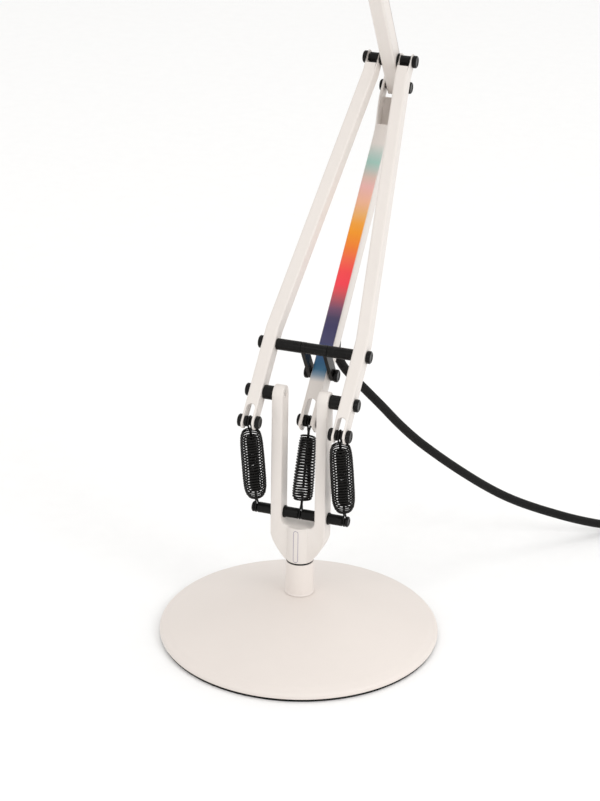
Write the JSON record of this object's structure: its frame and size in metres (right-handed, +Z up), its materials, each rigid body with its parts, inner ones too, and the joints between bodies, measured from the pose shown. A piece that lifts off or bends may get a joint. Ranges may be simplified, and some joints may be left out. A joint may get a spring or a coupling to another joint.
{
  "type": "spring balanced desk lamp",
  "caption": "Adjustable desk lamp: round weighted base, swivelling fork, spring-balanced two-arm linkage and a tilting shade.",
  "frame": {"origin": "centre of the base's underside, on the table", "axes": "+X along the pivot pins to the lamp's right, +Y back, away from the shade, +Z up"},
  "size_m": [0.4918, 0.4245, 0.7387],
  "materials": {
    "powder_coat": "satin off-white powder coat on aluminium",
    "powder_coat_steel": "satin off-white powder coat on steel",
    "gradient_coat": "satin coat with a printed colour gradient along its front face",
    "black_metal": "satin black oxide",
    "black_plastic": "satin black moulded plastic",
    "white_plastic": "satin off-white plastic",
    "spring_steel": "black coated spring wire",
    "bare_steel": "turned steel",
    "iron": "rough cast iron",
    "rubber": "matt black rubber",
    "cable_braid": "woven black textile braid",
    "bulb_cap": "threaded metal cap",
    "bulb_glass": "opal glass"
  },
  "bodies": {
    "base": {"foot_pad": "rubber", "base_cover": "powder_coat_steel", "base_weight": "iron", "stem": "powder_coat_steel", "swivel_spindle": "bare_steel", "swivel_washer": "black_plastic"},
    "fork": {"fork": "powder_coat", "anchor_shaft": "black_metal", "anchor_inner_sleeve_right": "black_plastic", "anchor_inner_sleeve_left": "black_plastic", "anchor_outer_sleeve_right": "black_plastic", "anchor_outer_sleeve_left": "black_plastic", "main_pivot_bolt_right": "black_metal", "main_pivot_bolt_left": "black_metal", "mains_cable": "cable_braid", "cable_coil": "cable_braid", "cable_tail": "cable_braid", "plug": "black_plastic"},
    "lower_arm": {"outer_arm_right": "powder_coat", "outer_arm_left": "powder_coat", "main_pivot_spacer_right": "black_plastic", "main_pivot_spacer_left": "black_plastic", "cross_shaft": "black_metal", "cross_shaft_sleeve_right": "black_plastic", "cross_shaft_sleeve_left": "black_plastic", "tail_pin_right": "black_metal", "tail_pin_left": "black_metal", "tail_spool_right": "black_plastic", "tail_spool_left": "black_plastic", "elbow_shaft": "black_metal", "elbow_bush_right": "black_plastic", "elbow_bush_left": "black_plastic", "strain_relief": "rubber"},
    "crank": {"crank": "black_metal", "crank_pin": "black_metal"},
    "link_bar": {"link_bar": "gradient_coat", "link_tail_pin": "black_metal", "link_spool": "black_plastic", "link_lead": "cable_braid"},
    "upper_arm": {"upper_arm": "powder_coat", "upper_arm_lead": "cable_braid", "link_top_pin": "black_metal", "head_pivot_knob": "black_plastic"},
    "spring_left": {"lower_hook_left": "spring_steel", "spring_left": "spring_steel", "inner_spring_left": "spring_steel"},
    "spring_right": {"lower_hook_right": "spring_steel", "spring_right": "spring_steel", "inner_spring_right": "spring_steel"},
    "spring_centre": {"lower_hook_centre": "spring_steel", "spring_centre": "spring_steel"},
    "upper_hook_left": {"upper_hook_left": "spring_steel"},
    "upper_hook_right": {"upper_hook_right": "spring_steel"},
    "upper_hook_centre": {"upper_hook_centre": "spring_steel"},
    "head_knuckle": {"head_knuckle": "black_metal"},
    "head": {"lampholder": "black_plastic", "bulb_cap": "bulb_cap", "bulb_glass": "bulb_glass", "shade": "powder_coat"},
    "switch_button": {"switch_button": "white_plastic"}
  },
  "joints": [
    {"name": "base_swivel", "type": "hinge", "parent": "base", "child": "fork", "pos_m": [0, 0, 0.065], "axis": [0, 0, 1], "range_deg": [-170, 170]},
    {"name": "lower_arm_pivot", "type": "hinge", "parent": "fork", "child": "lower_arm", "pos_m": [0, 0, 0.203], "axis": [1, 0, 0], "range_deg": [-8, 50], "deforming": ["mains_cable"]},
    {"name": "elbow_pivot", "type": "hinge", "parent": "lower_arm", "child": "upper_arm", "pos_m": [0, 0.20464, 0.4127], "axis": [1, 0, 0], "range_deg": [-20, 45]},
    {"name": "crank_pivot", "type": "hinge", "parent": "lower_arm", "child": "crank", "pos_m": [0, 0.02794, 0.23163], "axis": [1, 0, 0], "range_deg": [-20, 45]},
    {"name": "link_pivot", "type": "hinge", "parent": "crank", "child": "link_bar", "pos_m": [0, 0.04601, 0.20401], "axis": [1, 0, 0], "range_deg": [-45, 20], "deforming": ["link_lead"]},
    {"name": "spring_left_pivot", "type": "hinge", "parent": "fork", "child": "spring_left", "pos_m": [-0.0361, 0, 0.104], "axis": [1, 0, 0], "range_deg": [-14.5, 2.5], "deforming": ["spring_left", "inner_spring_left"]},
    {"name": "spring_right_pivot", "type": "hinge", "parent": "fork", "child": "spring_right", "pos_m": [0.0361, 0, 0.104], "axis": [1, 0, 0], "range_deg": [-14.5, 2.5], "deforming": ["spring_right", "inner_spring_right"]},
    {"name": "spring_centre_pivot", "type": "hinge", "parent": "fork", "child": "spring_centre", "pos_m": [0, 0, 0.104], "axis": [1, 0, 0], "range_deg": [-5.5, 2.6], "deforming": ["spring_centre"]},
    {"name": "hook_left_pivot", "type": "hinge", "parent": "lower_arm", "child": "upper_hook_left", "pos_m": [-0.0361, -0.01781, 0.18475], "axis": [1, 0, 0], "range_deg": [-64.5, 10.5]},
    {"name": "hook_right_pivot", "type": "hinge", "parent": "lower_arm", "child": "upper_hook_right", "pos_m": [0.0361, -0.01781, 0.18475], "axis": [1, 0, 0], "range_deg": [-64.5, 10.5]},
    {"name": "hook_centre_pivot", "type": "hinge", "parent": "link_bar", "child": "upper_hook_centre", "pos_m": [0, 0.01807, 0.17539], "axis": [1, 0, 0], "range_deg": [-56, 9]},
    {"name": "head_tilt", "type": "hinge", "parent": "upper_arm", "child": "head_knuckle", "pos_m": [0, -0.00344, 0.73067], "axis": [1, 0, 0], "range_deg": [-75, 12]},
    {"name": "head_turn", "type": "hinge", "parent": "head_knuckle", "child": "head", "pos_m": [0, -0.03344, 0.70067], "axis": [0, 0, 1], "range_deg": [-60, 60]},
    {"name": "switch_press", "type": "slide", "parent": "head", "child": "switch_button", "axis": [0, 0, -1], "range_m": [0, 0.0015], "stiffness_N_per_m": 400}
  ],
  "couplings": [
    {"joint": "crank_pivot", "follows": "elbow_pivot", "ratio": 1},
    {"joint": "link_pivot", "follows": "elbow_pivot", "ratio": -1},
    {"joint": "spring_left_pivot", "follows": "lower_arm_pivot", "ratio": -0.28},
    {"joint": "spring_right_pivot", "follows": "lower_arm_pivot", "ratio": -0.28},
    {"joint": "spring_centre_pivot", "follows": "elbow_pivot", "ratio": -0.115},
    {"joint": "hook_left_pivot", "follows": "lower_arm_pivot", "ratio": -1.28},
    {"joint": "hook_right_pivot", "follows": "lower_arm_pivot", "ratio": -1.28},
    {"joint": "hook_centre_pivot", "follows": "lower_arm_pivot", "ratio": -1.1}
  ]
}
